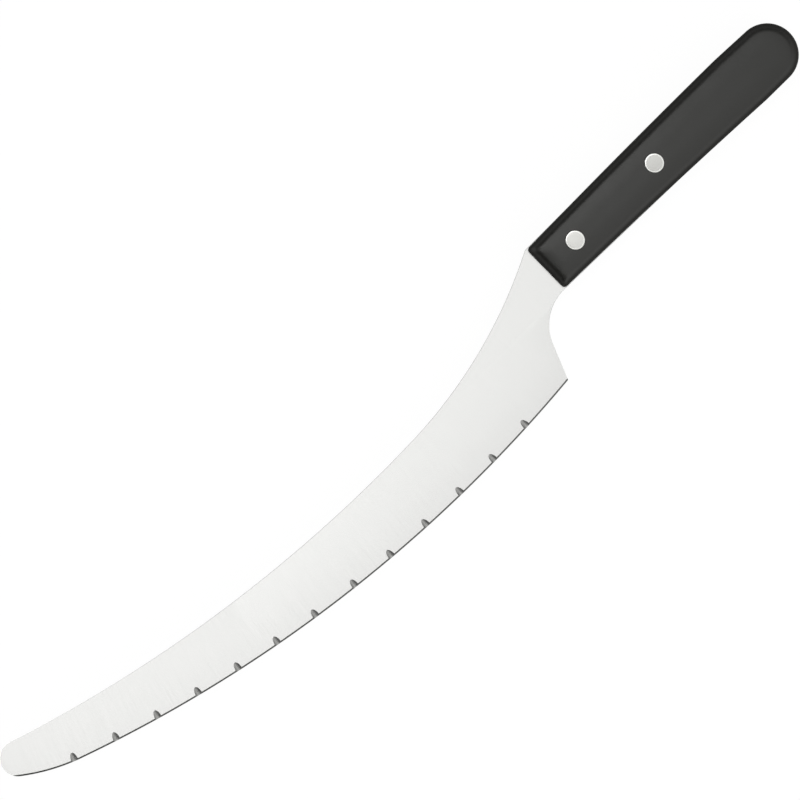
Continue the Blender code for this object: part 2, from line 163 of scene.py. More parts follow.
# Modelling by hand

def deselect() -> None:
    """Leave edit mode and select nothing."""
    if bpy.context.object and bpy.context.object.mode != "OBJECT":
        bpy.ops.object.mode_set(mode="OBJECT")
    bpy.ops.object.select_all(action="DESELECT")


def only(piece: Piece) -> None:
    """Select one object and make it the active one, in object mode."""
    deselect()
    piece.select_set(True)
    bpy.context.view_layer.objects.active = piece


def extrude(way: Vector) -> None:
    """Pull what is selected in edit mode along a way, and leave a wall behind it."""
    bpy.ops.mesh.extrude_region_move(TRANSFORM_OT_translate={"value": way})


def select_level(piece: Piece, side: float) -> None:
    """Select nothing but the level faces of the object in edit mode, the upper (1) or lower (-1) ones."""
    bpy.ops.mesh.select_all(action="DESELECT")
    work = bmesh.from_edit_mesh(piece.data)
    for face in work.faces:
        if face.normal.z * side > LEVEL:
            face.select_set(True)
    bmesh.update_edit_mesh(piece.data)


class Pen:
    """Draws an outline in edit mode, stretch by stretch, with extrude and spin."""

    def __init__(self, name: str, start: Vector) -> None:
        """Put the pen down.

        Args:
            name: Name of the object that is drawn.
            start: First point of the outline.
        """
        deselect()
        bpy.ops.mesh.primitive_plane_add(size=MM, location=start)
        self.piece = bpy.context.object
        self.piece.name = name
        bpy.ops.object.transform_apply()
        bpy.ops.object.mode_set(mode="EDIT")
        bpy.ops.mesh.select_mode(type="VERT")
        bpy.ops.mesh.merge(type="CENTER")

    def at(self) -> Vector:
        """Give the point where the pen is: the only selected one."""
        work = bmesh.from_edit_mesh(self.piece.data)
        return next(point.co.copy() for point in work.verts if point.select)

    def line_to(self, *points: Vector) -> None:
        """Draw a straight stretch to each point in turn."""
        for point in points:
            extrude(point - self.at())

    def arc(self, centre: Vector, turn: float, steps: int, axis: Vector = UP) -> None:
        """Draw an arc round a centre; the turn is positive to the left, seen against the axis."""
        bpy.ops.mesh.spin(steps=steps, angle=-turn, center=centre, axis=axis)

    def round_corner(self, corner: Vector, after: Vector, radius: float, steps: int) -> None:
        """Draw up to a level corner and round it towards the next point.

        Args:
            corner: Where the two straight stretches would meet.
            after: Any point on the stretch that leaves the corner.
            radius: Radius of the rounding.
            steps: Facets of the rounding.
        """
        inward = (self.at() - corner).normalized()
        outward = (after - corner).normalized()
        half = inward.angle(outward) / 2.0
        side = 1.0 if inward.cross(outward).z < 0.0 else -1.0
        self.line_to(corner + inward * radius / math.tan(half))
        centre = corner + (inward + outward).normalized() * radius / math.sin(half)
        self.arc(centre, side * (math.pi - 2.0 * half), steps)

    def shallow_arc(self, end: Vector, bulge: float, steps: int) -> None:
        """Draw a shallow arc to a point; a positive bulge stands out to the right of the way there."""
        start = self.at()
        chord = end - start
        radius = (chord.length_squared / 4.0 + bulge ** 2) / (2.0 * abs(bulge))
        side = math.copysign(1.0, bulge)
        middle = (start + end) / 2.0
        centre = middle + side_of(chord) * side * (radius - abs(bulge))
        self.arc(centre, side * 2.0 * math.asin(chord.length / (2.0 * radius)), steps)

    def face(self) -> Piece:
        """Close the outline, weld it and fill it with one face, which stays selected in edit mode."""
        bpy.ops.mesh.select_all(action="SELECT")
        bpy.ops.mesh.remove_doubles(threshold=WELD)
        bpy.ops.mesh.edge_face_add()
        bpy.ops.mesh.select_mode(type="FACE")
        bpy.ops.mesh.select_all(action="SELECT")
        return self.piece

    def thicken(self, height: float) -> None:
        """Pull the face up into a block with its faces outwards, still in edit mode."""
        extrude(UP * height)
        bpy.ops.mesh.select_all(action="SELECT")
        bpy.ops.mesh.normals_make_consistent(inside=False)

    def lathe(self, axis_at: Vector, steps: int) -> Piece:
        """Turn the outline, whose ends are on an upright axis, into a closed solid.

        Args:
            axis_at: Any point of the axis.
            steps: Facets of the full turn.

        Returns:
            The solid, in object mode.
        """
        bpy.ops.mesh.select_all(action="SELECT")
        bpy.ops.mesh.spin(steps=steps, angle=math.tau, center=axis_at, axis=UP)
        return self.solid()

    def solid(self) -> Piece:
        """Weld what was drawn, turn its faces outwards and leave edit mode."""
        bpy.ops.mesh.select_mode(type="VERT")
        bpy.ops.mesh.select_all(action="SELECT")
        bpy.ops.mesh.remove_doubles(threshold=WELD)
        bpy.ops.mesh.normals_make_consistent(inside=False)
        bpy.ops.object.mode_set(mode="OBJECT")
        return self.piece


def turned(name: str, profile: list[tuple[float, float]], axis_at: Vector, facets: int) -> Piece:
    """Turn a solid on an upright axis.

    Args:
        name: Name of the solid.
        profile: Radius and height of each corner, from the axis round to the axis.
        axis_at: The point of the axis that the heights count from.
        facets: Facets of the full turn.

    Returns:
        The solid, in object mode.
    """
    points = [axis_at + Vector((radius, 0.0, height)) for radius, height in profile]
    pen = Pen(name, points[0])
    pen.line_to(*points[1:])
    return pen.lathe(axis_at, facets)


def cut_away(piece: Piece, cutters: list[Piece]) -> None:
    """Cut all the cutters out of a piece at once; the cut faces keep the cutters' materials.

    Args:
        piece: The solid that is cut.
        cutters: Solids that are taken away and then removed.
    """
    tools = bpy.data.collections.new(piece.name + "_cutters")
    for cutter in cutters:
        tools.objects.link(cutter)
    only(piece)
    boolean = piece.modifiers.new("Cut", "BOOLEAN")
    boolean.operation = "DIFFERENCE"
    boolean.solver = "EXACT"
    boolean.material_mode = "TRANSFER"
    boolean.operand_type = "COLLECTION"
    boolean.collection = tools
    bpy.ops.object.modifier_apply(modifier=boolean.name)
    for cutter in cutters:
        bpy.data.objects.remove(cutter)
    bpy.data.collections.remove(tools)


def smooth(piece: Piece, crease: float) -> None:
    """Shade a piece smooth up to a crease angle, with its large faces kept flat."""
    only(piece)
    bpy.ops.object.shade_smooth_by_angle(angle=crease)
    weighted = piece.modifiers.new("Flat faces", "WEIGHTED_NORMAL")
    weighted.keep_sharp = True
    bpy.ops.object.modifier_apply(modifier=weighted.name)


def stand_for(piece: Piece, node: str) -> None:
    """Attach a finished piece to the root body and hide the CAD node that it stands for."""
    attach(piece, "root")
    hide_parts(node)
    LOG.info("%s stands for %s: %d faces", piece.name, node, len(piece.data.polygons))


# Finishes

def linear(hex_colour: str) -> tuple[float, float, float, float]:
    """Turn an sRGB hex colour such as #C0C0C0 into linear red, green, blue and alpha."""
    srgb = [int(hex_colour[i:i + 2], 16) / 255.0 for i in (1, 3, 5)]
    return (*[c / 12.92 if c <= 0.04045 else ((c + 0.055) / 1.055) ** 2.4 for c in srgb], 1.0)


class Wiring:
    """Adds nodes to one node tree and links them; a value is a number, a vector or another node's output."""

    def __init__(self, tree: bpy.types.NodeTree) -> None:
        """Take the tree."""
        self.tree = tree

    def add(self, kind: str, inputs: dict, **settings: object) -> bpy.types.Node:
        """Add a node with its settings and links.

        Args:
            kind: The node's type, after the word ShaderNode.
            inputs: The values of its inputs, by name or place.
            settings: The node's own properties.

        Returns:
            The new node.
        """
        made = self.tree.nodes.new("ShaderNode" + kind)
        for name, value in settings.items():
            setattr(made, name, value)
        self.feed(made, inputs)
        return made

    def feed(self, node: bpy.types.Node, inputs: dict) -> None:
        """Set or link some inputs of a node, given by name or place."""
        for name, value in inputs.items():
            if isinstance(value, Socket):
                self.tree.links.new(value, node.inputs[name])
            else:
                node.inputs[name].default_value = value

    def place(self, kind: str = "Object") -> Socket:
        """Give the place on the piece in metres, or another kind of coordinates."""
        return self.add("TexCoord", {}).outputs[kind]

    def part(self, vector: Socket, axis: str) -> Socket:
        """Give one component of a vector."""
        return self.add("SeparateXYZ", {0: vector}).outputs[axis]

    def math(self, operation: str, *values: Socket | float) -> Socket:
        """Work out a number from others."""
        return self.add("Math", dict(enumerate(values)), operation=operation).outputs[0]

    def vector(self, operation: str, *values: Socket | Vector) -> bpy.types.NodeOutputs:
        """Work out a vector, or its length, from others."""
        return self.add("VectorMath", dict(enumerate(values)), operation=operation).outputs

    def noise(self, place: Socket, size: float, detail: float, harshness: float) -> Socket:
        """Give a noise between 0 and 1 whose spots are of a size."""
        return self.add("TexNoise", {"Vector": place, "Scale": 1.0 / size, "Detail": detail,
                                     "Roughness": harshness}).outputs["Fac"]

    def ramp(self, value: Socket, start: float, end: float, low: Socket | float, high: float) -> Socket:
        """Let a number go from low to high while a value goes from start to end."""
        return self.add("MapRange", {"Value": value, "From Min": start, "From Max": end, "To Min": low,
                                     "To Max": high}).outputs[0]

    def blend(self, share: Socket, first: str, second: str) -> Socket:
        """Mix two hex colours."""
        return self.add("Mix", {"Factor": share, 6: linear(first), 7: linear(second)},
                        data_type="RGBA").outputs[2]

    def bump(self, height: Socket, depth: float) -> Socket:
        """Turn a height between 0 and 1 into the tilt of a surface as deep as this."""
        return self.add("Bump", {"Strength": 1.0, "Distance": depth, "Height": height}).outputs[0]

    def rougher_aslant(self, rough: Socket, facing: tuple[float, float], most: float) -> Socket:
        """Let a roughness rise where the surface is seen aslant.

        Args:
            rough: The roughness where the surface is seen square on.
            facing: Between which values it rises: 0 is square on, 1 edge on.
            most: The roughness beyond them.

        Returns:
            The roughness at any angle.
        """
        seen = self.add("LayerWeight", {"Blend": 0.5}).outputs["Facing"]
        return self.ramp(seen, *facing, rough, most)


@dataclass(frozen=True, kw_only=True)
class Finish:
    """A surface finish; wire() of each kind of finish sets up its nodes."""

    name: str

    def material(self) -> bpy.types.Material:
        """Make the material."""
        made = bpy.data.materials.new(self.name)
        made.use_nodes = True
        self.wire(Wiring(made.node_tree), made.node_tree.nodes["Principled BSDF"])
        return made

    def wire(self, wires: Wiring, shader: bpy.types.Node) -> None:
        """Set up the shader of this finish."""
        raise NotImplementedError


@dataclass(frozen=True, kw_only=True)
class Steel(Finish):
    """Stainless steel with fine lines, as all the knife's steel has.

    It scatters the light more widely where it is seen aslant, so that a low look at the blade finds
    a soft grey and not the dark of the room.
    """

    light: str
    dark: str
    roughness: float
    line_depth: float
    line_spacing: float
    line_length: float
    swing: float
    line_heights: tuple[float, float] = (0.3, 0.7)
    aslant: tuple[float, float] = (0.04, 0.4)
    aslant_roughness: float = 0.64

    def lines(self, wires: Wiring, stretched: Socket) -> Socket:
        """Give the height of the lines from coordinates that count in spacings and lengths of them."""
        return wires.noise(stretched, size=1.0, detail=3.0, harshness=0.6)

    def coat(self, wires: Wiring, shader: bpy.types.Node, colour: Socket, lines: Socket) -> None:
        """Set up the shader from its colour and its lines."""
        low, high = self.roughness - self.swing, self.roughness + self.swing
        rough = wires.ramp(lines, *self.line_heights, low, high)
        wires.feed(shader, {
            "Metallic": 1.0,
            "Base Color": colour,
            "Roughness": wires.rougher_aslant(rough, self.aslant, self.aslant_roughness),
            "Normal": wires.bump(lines, self.line_depth),
        })


@dataclass(frozen=True, kw_only=True)
class GroundSteel(Steel):
    """Stainless steel sheet, ground with a belt and then blasted or polished to a satin.

    It is near white where it mirrors the soft light overhead, with very faint lines across the
    blade and a slow random change of tone. The lines run straight out from the centre of the
    cutting edge's arc, so they stay square to the edge all along the blade. Painted shade darkens
    it towards the neck, and a little over the last millimetres before the cutting edge.
    """

    edge_centre: Vector
    edge_radius: float
    neck_painted_shade: float = 0.0
    edge_painted_shade: float = 0.0
    neck_shade_from: float = -30.0 * MM
    neck_shade_to: float = -300.0 * MM
    edge_painted_shade_width: float = 12.0 * MM
    line_spacing: float = 0.7 * MM
    line_length: float = 16.0 * MM
    swing: float = 0.02
    patch: float = 28.0 * MM
    patch_share: float = 0.06

    def wire(self, wires: Wiring, shader: bpy.types.Node) -> None:
        """Set up the steel's colour, roughness and grinding lines."""
        place = wires.place()
        across = self.edge_coordinates(wires, place)
        stretch = (1.0 / self.line_spacing, 1.0 / self.line_length, 1.0 / self.line_length)
        lines = self.lines(wires, wires.vector("MULTIPLY", across, stretch)[0])
        patches = wires.noise(place, self.patch, detail=2.0, harshness=0.45)
        tone = wires.math("MULTIPLY", patches, self.patch_share)
        shade_from = self.edge_radius - self.edge_painted_shade_width
        # Painted shade: darker towards the neck and over the last millimetres before the cutting edge
        for value, start, end, share in (
            (wires.part(place, "X"), self.neck_shade_to, self.neck_shade_from, self.neck_painted_shade),
            (wires.part(across, "Y"), shade_from, self.edge_radius, self.edge_painted_shade),
        ):
            tone = wires.math("ADD", tone, wires.ramp(value, start, end, 0.0, share))
        self.coat(wires, shader, wires.blend(tone, self.light, self.dark), lines)

    def edge_coordinates(self, wires: Wiring, place: Socket) -> Socket:
        """Give the place as the way along the cutting edge, the distance across it and the height."""
        from_centre = wires.vector("SUBTRACT", place, self.edge_centre)[0]
        x, y, z = (wires.part(from_centre, axis) for axis in "XYZ")
        along = wires.math("MULTIPLY", wires.math("ARCTAN2", x, y), self.edge_radius)
        level = wires.vector("MULTIPLY", from_centre, Vector((1.0, 1.0, 0.0)))[0]
        across = wires.vector("LENGTH", level)["Value"]
        return wires.add("CombineXYZ", {"X": along, "Y": across, "Z": z}).outputs[0]


@dataclass(frozen=True, kw_only=True)
class SandedSteel(Steel):
    """Stainless rivet head, sanded one way on its face and burnished at its rim.

    The sanded face scatters the light and looks a little greyer than the blade.
    """

    line_length: float = 3.0 * MM
    swing: float = 0.05
    sanding_angle: float = math.radians(40.0)

    def wire(self, wires: Wiring, shader: bpy.types.Node) -> None:
        """Set up the metal's colour, roughness and sanding lines."""
        stretch = (1.0 / self.line_length, 1.0 / self.line_spacing, 1.0 / self.line_spacing)
        turned = wires.add("Mapping", {"Vector": wires.place(), "Rotation": (0.0, 0.0, self.sanding_angle),
                                       "Scale": stretch})
        lines = self.lines(wires, turned.outputs[0])
        self.coat(wires, shader, wires.blend(lines, self.dark, self.light), lines)


@dataclass(frozen=True, kw_only=True)
class MouldedPlastic(Finish):
    """Black acetal, moulded in a spark-eroded tool: an even satin with a fine grain.

    It is almost black where it mirrors nothing and a soft grey where it mirrors the light. The
    spark-eroded texture breaks up its gloss at a glancing look, so the rounded edges stay dark.
    """

    light: str = "#161613"
    dark: str = "#11110E"
    ior: float = 1.48
    roughness: float = 0.36
    butt_roughness: float = 0.44
    butt_at: float = 89.0 * MM
    aslant: tuple[float, float] = (0.1, 0.4)
    grain: float = 0.45 * MM
    grain_depth: float = 0.012 * MM
    patch: float = 9.0 * MM
    patch_swing: float = 0.06

    def wire(self, wires: Wiring, shader: bpy.types.Node) -> None:
        """Set up the plastic's colour, roughness and grain."""
        place = wires.place()
        grain = wires.noise(place, self.grain, detail=2.0, harshness=0.5)
        patches = wires.noise(place, self.patch, detail=3.0, harshness=0.5)
        worn = wires.ramp(wires.part(place, "X"), 0.0, self.butt_at, self.roughness, self.butt_roughness)
        even = wires.math("MULTIPLY_ADD", patches, self.patch_swing, worn)
        wires.feed(shader, {
            "IOR": self.ior,
            "Base Color": wires.blend(patches, self.dark, self.light),
            "Roughness": wires.rougher_aslant(even, self.aslant, 1.0),
            "Normal": wires.bump(grain, self.grain_depth),
        })


@dataclass(frozen=True, kw_only=True)
class PaperFloor(Finish):
    """White paper sweep: as white as the photograph's ground, and it keeps the knife's soft shadow."""

    paper: str = "#484848"
    roughness: float = 0.9
    white: float = 0.955

    def wire(self, wires: Wiring, shader: bpy.types.Node) -> None:
        """Add the white that the camera, mirrors and glass see to the lit paper."""
        wires.feed(shader, {"Base Color": linear(self.paper), "Roughness": self.roughness,
                            "Specular IOR Level": 0.0})
        rays = wires.add("LightPath", {}).outputs
        seen = wires.math("MAXIMUM", rays["Is Camera Ray"], rays["Is Glossy Ray"])
        seen = wires.math("MAXIMUM", seen, rays["Is Transmission Ray"])
        glow = wires.add("Emission", {"Strength": wires.math("MULTIPLY", seen, self.white)})
        both = wires.add("AddShader", {0: shader.outputs[0], 1: glow.outputs[0]})
        wires.feed(wires.tree.nodes["Material Output"], {"Surface": both.outputs[0]})


# Sub-assemblies

@dataclass(frozen=True)
class RivetPlan:
    """Sizes of the two rivets and where they sit along the handle."""

    first: float = 15.1 * MM
    spacing: float = 40.5 * MM
    rise: float = 0.35 * MM
    head_radius: float = 3.6 * MM
    head_thickness: float = 1.6 * MM
    head_rounding: float = 0.22 * MM
    rim_width: float = 0.3 * MM
    rim_drop: float = 0.03 * MM
    tube_radius: float = 2.2 * MM
    tube_wall: float = 0.75 * MM
    tube_floor: float = 0.6 * MM
    pin_radius: float = 1.3 * MM
    seat_gap: float = 0.06 * MM
    facets: int = 96

    def places(self) -> dict[str, tuple[float, float]]:
        """Give the axis of each rivet as its place behind the front face and above the axis."""
        return {"front": (self.first, self.rise), "rear": (self.first + self.spacing, self.rise)}

    def drills(self, datum: Datum, thickness: float, margin: float) -> list[Piece]:
        """Turn the stepped drill of each rivet: a head's recess at both faces and a bore between.

        Args:
            datum: Where the knife lies.
            thickness: Thickness of the handle.
            margin: How far the drills stand out of it.

        Returns:
            The drills.
        """
        top = thickness / 2.0
        floor = top - self.head_thickness - self.seat_gap
        recess = self.head_radius + self.seat_gap
        bore = self.tube_radius + self.seat_gap
        profile = [(0.0, top + margin), (recess, top + margin), (recess, floor), (bore, floor),
                   (bore, -floor), (recess, -floor), (recess, -top - margin), (0.0, -top - margin)]
        return [turned(name + "_drill", profile, datum.point(x, y), self.facets)
                for name, (x, y) in self.places().items()]


@dataclass
class HandlePlan:
    """Outline of the handle, drawn from its front face to its butt."""

    length: float = 124.7 * MM
    thickness: float = 14.0 * MM
    front_top: float = 10.3 * MM
    front_bottom: float = 9.6 * MM
    crest_top: float = 12.0 * MM
    crest_top_back: float = 27.0 * MM
    crest_bottom: float = 11.75 * MM
    crest_bottom_back: float = 23.0 * MM
    crest_radius: float = 200.0 * MM
    back_bulge: float = 0.35 * MM
    grip_hollow: float = 0.45 * MM
    butt_radius: float = 11.6 * MM
    butt_drop: float = 0.1 * MM
    edge_rounding: float = 4.0 * MM
    crown_slope: float = math.radians(8.5)
    crown_width: float = 5.5 * MM
    front_rounding: float = 1.4 * MM

    def top(self, x: float) -> float:
        """Height of the upper edge above the axis."""
        t = x / (self.length - self.crest_top_back)
        return self.front_top + (self.crest_top - self.front_top) * t + self.back_bulge * 4.0 * t * (1.0 - t)

    def bottom(self, x: float) -> float:
        """Height of the lower edge, a negative value."""
        t = x / (self.length - self.crest_bottom_back)
        drop = self.front_bottom + (self.crest_bottom - self.front_bottom) * t
        return self.grip_hollow * 4.0 * t * (1.0 - t) - drop

    def section(self, rounding_steps: int, crown_steps: int) -> list[tuple[float, float]]:
        """Give the way from the upright side, over the rounded edge, to the flat along the ridge.

        Args:
            rounding_steps: Facets of the rounded edge.
            crown_steps: Facets of the slight crown of the face.

        Returns:
            How far in and how far up each step is from the top of the upright side.
        """
        points = []
        for i in range(rounding_steps + 1):
            tilt = math.pi / 2.0 - (math.pi / 2.0 - self.crown_slope) * i / rounding_steps
            points.append((self.edge_rounding * (1.0 - math.sin(tilt)), self.edge_rounding * math.cos(tilt)))
        edge_in, edge_up = points[-1]
        for i in range(1, crown_steps + 1):
            way = self.crown_width * i / crown_steps
            rise = math.tan(self.crown_slope) * (way - way ** 2 / (2.0 * self.crown_width))
            points.append((edge_in + way, edge_up + rise))
        return points


@dataclass
class BladePlan:
    """Arcs that bound the blade and its tang, worked out by tangency in the knife's own drawing."""

    handle: HandlePlan
    rivets: RivetPlan
    reach: float = 270.6 * MM
    spine_radius: float = 542.0 * MM
    spine_dip_at: float = 101.6 * MM
    spine_dip: float = 11.2 * MM
    neck_radius: float = 185.0 * MM
    shoulder: float = 0.6 * MM
    heel_setback: float = 22.4 * MM
    heel_drop: float = 34.6 * MM
    choil_radius: float = 18.0 * MM
    choil_lean: float = math.radians(21.6)
    mid_width: float = 25.7 * MM
    tip_radius: float = 6.6 * MM
    belly_radius: float = 75.0 * MM
    belly_lift: float = 2.9 * MM
    tang_tail: float = 9.1 * MM
    tang_corner: float = 4.0 * MM
    tang_proud: float = 0.25 * MM
    tang_sunk: float = 0.1 * MM

    def __post_init__(self) -> None:
        """Work out the centres, the radii and the angles at which the arcs touch, and the main length."""
        self.shoulder_point = Vector((-self.shoulder, self.handle.top(0.0) + self.tang_proud, 0.0))
        self.neck_foot = Vector((0.0, self.handle.bottom(0.0) - self.tang_proud, 0.0))
        self.heel = Vector((-self.heel_setback, -self.heel_drop, 0.0))
        self.spine_centre = Vector((-self.spine_dip_at, self.spine_radius - self.spine_dip, 0.0))
        self.neck_centre = circles_meet(self.spine_centre, self.spine_radius - self.neck_radius,
                                        self.shoulder_point, self.neck_radius, -1)
        tip_x = self.tip_radius - self.reach
        tip_drop = math.sqrt((self.spine_radius + self.tip_radius) ** 2 - (tip_x - self.spine_centre.x) ** 2)
        self.tip_centre = Vector((tip_x, self.spine_centre.y - tip_drop, 0.0))
        outward = (self.tip_centre - self.spine_centre).normalized()
        middle = Vector((-self.spine_dip_at, -self.spine_dip - self.mid_width, 0.0))
        under_tip = self.tip_centre + outward * (self.tip_radius + self.belly_lift)
        self.edge_centre, self.edge_radius = circle_through(self.heel, middle, under_tip)
        self.belly_centre = circles_meet(self.edge_centre, self.edge_radius - self.belly_radius,
                                         self.tip_centre, self.belly_radius - self.tip_radius, 1)
        self.heel_angle = angle_of(self.edge_centre, self.heel)
        self.belly_start = angle_of(self.edge_centre, self.belly_centre)
        self.belly_end = angle_of(self.belly_centre, self.tip_centre)
        self.main_length = (self.heel_angle - self.belly_start) * self.edge_radius

    def edge_station(self, distance: float) -> tuple[Vector, Vector]:
        """Find a place on the cutting edge.

        Args:
            distance: Way along the edge from the heel.

        Returns:
            The point and the direction from it into the blade.
        """
        if distance <= self.main_length:
            centre, radius = self.edge_centre, self.edge_radius
            angle = self.heel_angle - distance / radius
        else:
            centre, radius = self.belly_centre, self.belly_radius
            angle = self.belly_start - (distance - self.main_length) / radius
        point = on_circle(centre, radius, angle)
        return point, (centre - point).normalized()

    def edge_length(self) -> float:
        """Length of the cutting edge from the heel to the tip."""
        return self.main_length + (self.belly_start - self.belly_end) * self.belly_radius


@dataclass
class Blade:
    """Blade and tang in one piece of sheet, with its grinding and its flutes."""

    datum: Datum
    plan: BladePlan
    sheet: float = 1.5 * MM
    easing: float = 0.12 * MM
    grind_height: float = 22.0 * MM
    edge_thickness: float = 0.6 * MM
    bevel_width: float = 0.6 * MM
    edge_land: float = 0.2 * MM
    flute_first: float = 22.7 * MM
    flute_pitch: float = 17.25 * MM
    flute_first_run: int = 6
    flute_reset: float = 0.9 * MM
    flute_end_margin: float = 18.0 * MM
    flute_width: float = 2.7 * MM
    flute_length: float = 3.1 * MM
    flute_depth: float = 0.4 * MM
    wheel_radius: float = 2.0 * MM
    flute_facets: int = 72
    rim_steps: int = 20
    rim_reach: float = math.radians(70.0)
    neck_steps: int = 60
    spine_steps: int = 110
    tip_steps: int = 40
    belly_steps: int = 24
    edge_steps: int = 110
    choil_steps: int = 40
    tang_steps: int = 12
    wheel_edge_steps: int = 130
    wheel_belly_steps: int = 30
    run_out: float = 26.4 * MM
    slope_slack: float = 0.01
    margin: float = 2.0 * MM
    crease: float = math.radians(9.0)

    def __post_init__(self) -> None:
        """Make the three finishes of the steel."""
        arc = {"edge_centre": self.place(self.plan.edge_centre), "edge_radius": self.plan.edge_radius}
        # Near white under the soft light, with painted shade that darkens it towards the neck and a little
        # near the edge
        self.satin = GroundSteel(name="satin_stainless_steel", light="#C9C9C9", dark="#B0B0B0",
                                 roughness=0.25, line_depth=0.0006 * MM, neck_painted_shade=0.8, edge_painted_shade=0.1,
                                 **arc).material()
        # Coarsely ground, and painted shade: its dark grey stands for the dark that the bevel mirrors, the
        # thin dark line along the edge
        self.bevel = GroundSteel(name="painted_dark_edge_steel", light="#5E5E5D", dark="#525251", roughness=0.42,
                                 line_depth=0.004 * MM, line_spacing=0.4 * MM, **arc).material()
        # Streaked by the wheel's grit, and partly painted shade: its mid grey stands for the dark that each
        # notch mirrors
        self.fluted = GroundSteel(name="wheel_ground_flute_steel", light="#929291", dark="#7E7E7D",
                                  roughness=0.46, line_depth=0.01 * MM, line_spacing=0.3 * MM,
                                  line_length=3.0 * MM, **arc).material()

    def place(self, point: Vector, z: float = 0.0) -> Vector:
        """Turn a point of the blade's plan into a place in the frame."""
        return self.datum.point(point.x, point.y, z)

    def build(self) -> None:
        """Model the blade and put it in the place of its CAD node."""
        blade = self.blank()
        blade.data.materials.append(self.satin)
        drills = self.plan.rivets.drills(self.datum, self.plan.handle.thickness, self.margin)
        cut_away(blade, [self.grinding_wheels(), self.flute_wheels(), *drills])
        smooth(blade, self.crease)
        stand_for(blade, "blade")

    def blank(self) -> Piece:
        """Stamp the outline out of the sheet, with its sharp edges eased."""
        plan = self.plan
        low = self.easing - self.sheet / 2.0
        end = plan.rivets.first + plan.rivets.spacing + plan.tang_tail
        end_top = self.place(Vector((end, plan.handle.top(end) - plan.tang_sunk, 0.0)), low)
        end_bottom = self.place(Vector((end, plan.handle.bottom(end) + plan.tang_sunk, 0.0)), low)
        shoulder = self.place(plan.shoulder_point, low)
        neck_foot = self.place(plan.neck_foot, low)
        heel = self.place(plan.heel, low)
        lean = Vector((math.sin(plan.choil_lean), math.cos(plan.choil_lean), 0.0))
        choil_corner = lines_meet(heel, lean, neck_foot, end_bottom - neck_foot)
        neck_start = angle_of(plan.neck_centre, plan.shoulder_point)
        spine_start = angle_of(plan.spine_centre, plan.neck_centre)
        spine_end = angle_of(plan.spine_centre, plan.tip_centre)
        pen = Pen("ground_blade", shoulder)
        for centre, turn, steps in (
            (plan.neck_centre, spine_start - neck_start, self.neck_steps),
            (plan.spine_centre, spine_end - spine_start, self.spine_steps),
            (plan.tip_centre, plan.belly_end - spine_end + math.pi, self.tip_steps),
            (plan.belly_centre, plan.belly_start - plan.belly_end, self.belly_steps),
            (plan.edge_centre, plan.heel_angle - plan.belly_start, self.edge_steps),
        ):
            pen.arc(self.place(centre, low), turn, steps)
        pen.round_corner(choil_corner, end_bottom, plan.choil_radius, self.choil_steps)
        pen.round_corner(end_bottom, end_top, plan.tang_corner, self.tang_steps)
        pen.round_corner(end_top, shoulder, plan.tang_corner, self.tang_steps)
        pen.line_to(shoulder)
        blade = pen.face()
        pen.thicken(self.sheet - 2.0 * self.easing)
        for side in (1.0, -1.0):
            select_level(blade, side)
            bpy.ops.mesh.inset(thickness=self.easing, depth=self.easing)
        return pen.solid()

    def grinding_wheels(self) -> Piece:
        """Sweep the V of the two grinding wheels along the cutting edge, with a run-out at each end."""
        plan = self.plan
        flank = (self.sheet - self.edge_thickness) / 2.0 / (self.grind_height - self.bevel_width)
        bevel = (self.edge_thickness - self.edge_land) / 2.0 / self.bevel_width
        inner = self.grind_height + self.margin
        upper = [
            (self.edge_land / 2.0 / bevel, 0.0),
            (-self.bevel_width, self.edge_thickness / 2.0),
            (-inner, self.sheet / 2.0 + self.margin * flank),
            (-inner, self.sheet / 2.0 + self.margin),
            (self.margin, self.sheet / 2.0 + self.margin),
        ]
        lower = [(out, -height) for out, height in reversed(upper[1:])]
        heel, inward = plan.edge_station(0.0)
        back = -side_of(inward) * (plan.heel_setback - self.margin)
        corners = [self.place(heel - inward * out, height) + back for out, height in upper + lower]
        pen = Pen("grinding_wheels", corners[0])
        pen.line_to(*corners[1:], corners[0])
        wheels = pen.face()
        extrude(-back)
        pen.arc(self.place(plan.edge_centre), plan.belly_start - plan.heel_angle, self.wheel_edge_steps)
        pen.arc(self.place(plan.belly_centre), plan.belly_end - plan.belly_start, self.wheel_belly_steps)
        onward = side_of(on_circle(Vector(), 1.0, plan.belly_end)) * -self.run_out
        extrude(onward)
        pen.solid()
        wheels.data.materials.append(self.satin)
        # The bevel's faces get the edge steel, whose dark grey is painted shade
        wheels.data.materials.append(self.bevel)
        slope = math.cos(math.atan(bevel))
        for face in wheels.data.polygons:
            face.material_index = 1 if abs(abs(face.normal.z) - slope) < self.slope_slack else 0
        return wheels

    def flute_wheels(self) -> Piece:
        """Set the rounded rim of a grinding wheel over the edge at each flute, all in one cutter."""
        reach = self.plan.edge_length() - self.flute_first - self.flute_end_margin
        height = self.wheel_radius - self.flute_depth
        spread = self.wheel_radius / math.sqrt(self.wheel_radius ** 2 - height ** 2)
        size = Vector((self.flute_width / 2.0 * spread, self.flute_length * spread, self.wheel_radius))
        rim = self.wheel_rim(size)
        wheels = []
        for i in range(int(reach / self.flute_pitch) + 1):
            reset = self.flute_reset if i >= self.flute_first_run else 0.0
            point, inward = self.plan.edge_station(self.flute_first + i * self.flute_pitch + reset)
            wheel = bpy.data.objects.new("flute_wheel", rim.data.copy())
            wheel.location = self.place(point, self.edge_thickness / 2.0 + height)
            wheel.rotation_euler = (0.0, 0.0, math.atan2(-inward.x, inward.y))
            bpy.context.scene.collection.objects.link(wheel)
            wheels.append(wheel)
        bpy.data.objects.remove(rim)
        only(wheels[0])
        for wheel in wheels:
            wheel.select_set(True)
        bpy.ops.object.transform_apply()
        bpy.ops.object.join()
        joined = bpy.context.object
        # The flutes' mid grey is partly painted shade, their streaks and roughness are real
        joined.data.materials.append(self.fluted)
        return joined

